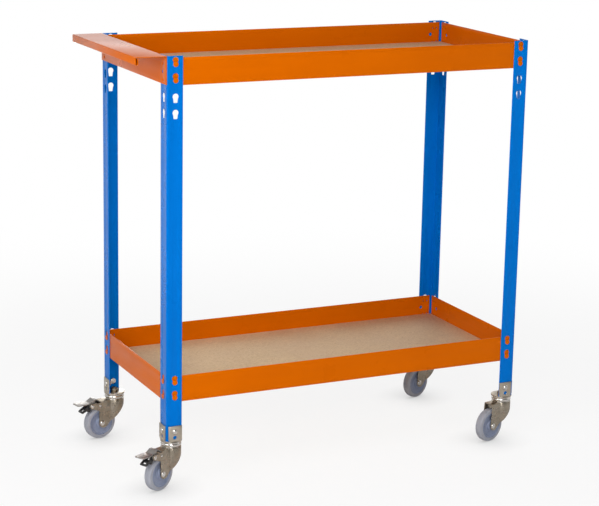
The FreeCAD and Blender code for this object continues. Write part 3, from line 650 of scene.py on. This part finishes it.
# The kingpin nuts take the darker dull zinc, not the bright zinc of the other fasteners: painted shade for
# their place in shadow inside the posts
for model, part, places, material in ((bolt_model, "bracket_bolts", bolt_places, BRIGHT_ZINC),
                                      (bolt_nut_model, "bracket_nuts", nut_places, BRIGHT_ZINC),
                                      (race_model, "swivel_heads", axis_places, BRIGHT_ZINC),
                                      (kingpin_nut_model, "kingpin_nuts", on_plate, ZINC)):
    whole = joined(set_out(model, f"{part}_one", places, material), f"{part}_turned")
    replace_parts(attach(whole, "frame"), part)

# Rounded heads on the studs that the beams and the handle hang by
studs = joined(set_out(stud_model, "stud_one", stud_places, ORANGE), "stud_heads_rounded")
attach(studs, "frame")

for model in (tyre_model, hub_model, axle_model, axle_nut_model, bolt_model, bolt_nut_model, race_model,
              kingpin_nut_model, pivot_model, stop_model, stud_model):
    bpy.data.objects.remove(model)


# Studio: white surroundings, dimmer in mirrors on the camera's side, a pale floor and soft lamps

AMBIENT = 0.2  # strength of the surroundings as light on the table
DIM_SIDE = 0.25
BRIGHT_SIDE = 0.7
SIDE_BLEND = (-0.5, 0.3)  # the heading along Y over which a mirror goes from the dim side to the bright one
FLOOR_SIZE = 60  # in metres, as are the floor's other lengths
FLOOR_DROP = 0.0005
FLOOR_TONE = (0.93, 0.93, 0.93, 1)
GLOW_RING = (0.9, 2.4)  # from the table's middle to where the floor is plain white
MIRROR_SHARE = 0.05  # how much of the glow a mirror sees near the table
EYE_SHARE = 0.8  # how much more of it the eye sees there
# Painted contact shade on the floor's glow: its reach in metres, and the darkest share of the glow
CONTACT_REACH = 0.09
DARKEST_PAINTED_SHADE = 0.45
LAMP_AIM = Vector((0, 0, 0.5))
LAMPS = (  # place and width in metres, and power in watts
    ("key_lamp", (-1.3, -3.0, 1.5), 1.6, 47),
    ("side_lamp", (-2.6, -1.0, 1.5), 1.4, 26),
    ("high_lamp", (-1.2, -1.6, 2.8), 1.6, 20),
    ("right_lamp", (2.4, -0.8, 1.4), 1.8, 8),
    ("back_lamp", (0.8, 2.6, 2.1), 2.0, 15),
    ("rear_lamp", (0.5, 3.0, 0.5), 0.8, 12))


def surroundings():
    """White to the eye, a low light on the table, and two strengths in mirrors."""
    world = bpy.data.worlds.new("studio")
    bpy.context.scene.world = world
    world.use_nodes = True
    sky = world.node_tree
    backdrop = sky.nodes["Background"]
    backdrop.inputs["Color"].default_value = WHITE
    path = node(sky, "ShaderNodeLightPath")
    heading = node(sky, "ShaderNodeTexCoord")
    parts = node(sky, "ShaderNodeSeparateXYZ")
    in_mirror = stretched(sky, SIDE_BLEND, onto=(DIM_SIDE, BRIGHT_SIDE), interpolation_type="SMOOTHSTEP")
    lit = stretched(sky, onto=(AMBIENT, 1))
    seen = node(sky, "ShaderNodeMath", operation="MAXIMUM")
    level = node(sky, "ShaderNodeMath", operation="MAXIMUM")
    wire(sky, (heading.outputs["Generated"], parts.inputs["Vector"]),
         (parts.outputs["Y"], in_mirror.inputs["Value"]),
         (path.outputs["Is Glossy Ray"], lit.inputs["Value"]),
         (in_mirror.outputs["Result"], lit.inputs["To Max"]),
         (path.outputs["Is Camera Ray"], seen.inputs[0]),
         (path.outputs["Is Transmission Ray"], seen.inputs[1]),
         (seen.outputs["Value"], level.inputs[0]),
         (lit.outputs["Result"], level.inputs[1]),
         (level.outputs["Value"], backdrop.inputs["Strength"]))


def floor_white():
    """A pale floor that glows white away from the table, with painted contact shade dimming its glow where
    something stands on it.
    """
    plain = {"Base Color": FLOOR_TONE, "Roughness": 0.9, "Specular IOR Level": 0.0}
    material, ground, matt = new_material("studio_floor", plain)
    path = node(ground, "ShaderNodeLightPath")
    spot = node(ground, "ShaderNodeTexCoord")
    reach = node(ground, "ShaderNodeVectorMath", operation="LENGTH")
    near = node(ground, "ShaderNodeMath", {1: EYE_SHARE, 2: MIRROR_SHARE}, operation="MULTIPLY_ADD")
    share = stretched(ground, GLOW_RING, interpolation_type="SMOOTHSTEP")
    mirror_or_eye = node(ground, "ShaderNodeMath", operation="MAXIMUM")
    seen = node(ground, "ShaderNodeMath", operation="MAXIMUM")
    amount = node(ground, "ShaderNodeMath", operation="MULTIPLY")
    # Painted contact shade: the glow dims where something stands close over the floor
    crowded = node(ground, "ShaderNodeAmbientOcclusion", {"Distance": CONTACT_REACH}, samples=8)
    painted_contact_shade = stretched(ground, onto=(DARKEST_PAINTED_SHADE, 1))
    glow = node(ground, "ShaderNodeEmission")
    blend = node(ground, "ShaderNodeMixShader")
    wire(ground, (spot.outputs["Object"], reach.inputs[0]),
         (reach.outputs["Value"], share.inputs["Value"]),
         (path.outputs["Is Camera Ray"], near.inputs[0]),
         (near.outputs["Value"], share.inputs["To Min"]),
         (path.outputs["Is Camera Ray"], mirror_or_eye.inputs[0]),
         (path.outputs["Is Glossy Ray"], mirror_or_eye.inputs[1]),
         (mirror_or_eye.outputs["Value"], seen.inputs[0]),
         (path.outputs["Is Transmission Ray"], seen.inputs[1]),
         (seen.outputs["Value"], amount.inputs[0]),
         (share.outputs["Result"], amount.inputs[1]),
         (amount.outputs["Value"], blend.inputs["Fac"]),
         (crowded.outputs["AO"], painted_contact_shade.inputs["Value"]),
         (painted_contact_shade.outputs["Result"], glow.inputs["Strength"]),
         (matt.outputs["BSDF"], blend.inputs[1]),
         (glow.outputs["Emission"], blend.inputs[2]),
         (blend.outputs["Shader"], ground.nodes["Material Output"].inputs["Surface"]))
    return material


def soft_lamp(label, spot, size, power):
    """A square lamp that the camera doesn't see, aimed at the table's middle."""
    lamp = bpy.data.lights.new(label, "AREA")
    lamp.shape = "SQUARE"
    lamp.size = size
    lamp.energy = power
    holder = bpy.data.objects.new(label, lamp)
    bpy.context.scene.collection.objects.link(holder)
    holder.visible_camera = False
    holder.location = spot
    holder.rotation_euler = (LAMP_AIM - Vector(spot)).to_track_quat("-Z", "Y").to_euler()


surroundings()
clear()
bpy.ops.mesh.primitive_plane_add(size=FLOOR_SIZE, location=(0, 0, -FLOOR_DROP))
floor = bpy.context.active_object
name_it(floor, "studio_floor")
coat(floor, floor_white())
for label, spot, size, power in LAMPS:
    soft_lamp(label, spot, size, power)


# Camera, at the viewing angle measured from the table's own edges

STANDPOINT = (-1.909, -3.921, 1.521)  # in metres
YAW = math.radians(25.59)
PITCH = math.radians(13.71)
ROLL = math.radians(1.10)
FOCAL_LENGTH = 113.2
SENSOR_WIDTH = 36
FARTHEST = 200

level_right = Vector((math.cos(YAW), -math.sin(YAW), 0))
level_ahead = Vector((math.sin(YAW), math.cos(YAW), 0))
ahead = level_ahead * math.cos(PITCH) - Vector((0, 0, 1)) * math.sin(PITCH)
upward = level_ahead * math.sin(PITCH) + Vector((0, 0, 1)) * math.cos(PITCH)
right = level_right * math.cos(ROLL) + upward * math.sin(ROLL)
above = upward * math.cos(ROLL) - level_right * math.sin(ROLL)
lens = bpy.data.cameras.new("view")
lens.sensor_fit = "HORIZONTAL"
lens.sensor_width = SENSOR_WIDTH
lens.lens = FOCAL_LENGTH
lens.clip_end = FARTHEST
view = bpy.data.objects.new("view", lens)
bpy.context.scene.collection.objects.link(view)
view.matrix_world = Matrix.Translation(STANDPOINT) @ Matrix((right, above, -ahead)).transposed().to_4x4()
bpy.context.scene.camera = view
bpy.context.scene.view_settings.view_transform = "Standard"
